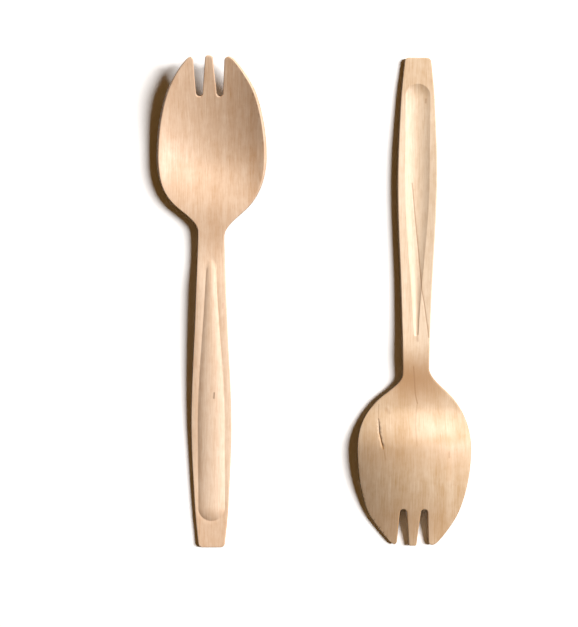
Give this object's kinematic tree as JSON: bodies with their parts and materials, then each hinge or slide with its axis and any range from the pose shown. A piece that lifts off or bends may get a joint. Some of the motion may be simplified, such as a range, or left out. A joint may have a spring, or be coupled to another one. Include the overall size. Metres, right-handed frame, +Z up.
{
  "type": "set of wooden sporks",
  "caption": "Set of one-piece pressed wooden sporks laid head to tail, face up and face down, with dished bowls, short tines and ridged handles, for eating.",
  "frame": {"origin": "middle of the set's footprint, on the surface that it lies on", "axes": "+Y along the sporks, towards the face-up one's tines; +X across them, towards the face-down one; +Z up"},
  "size_m": [0.103, 0.1604, 0.0108],
  "materials": {
    "birch": "bare pressed veneer, matt, with a faint sheen"
  },
  "bodies": {
    "root": {"spork_face_up": "birch", "spork_face_down": "birch"}
  },
  "joints": []
}
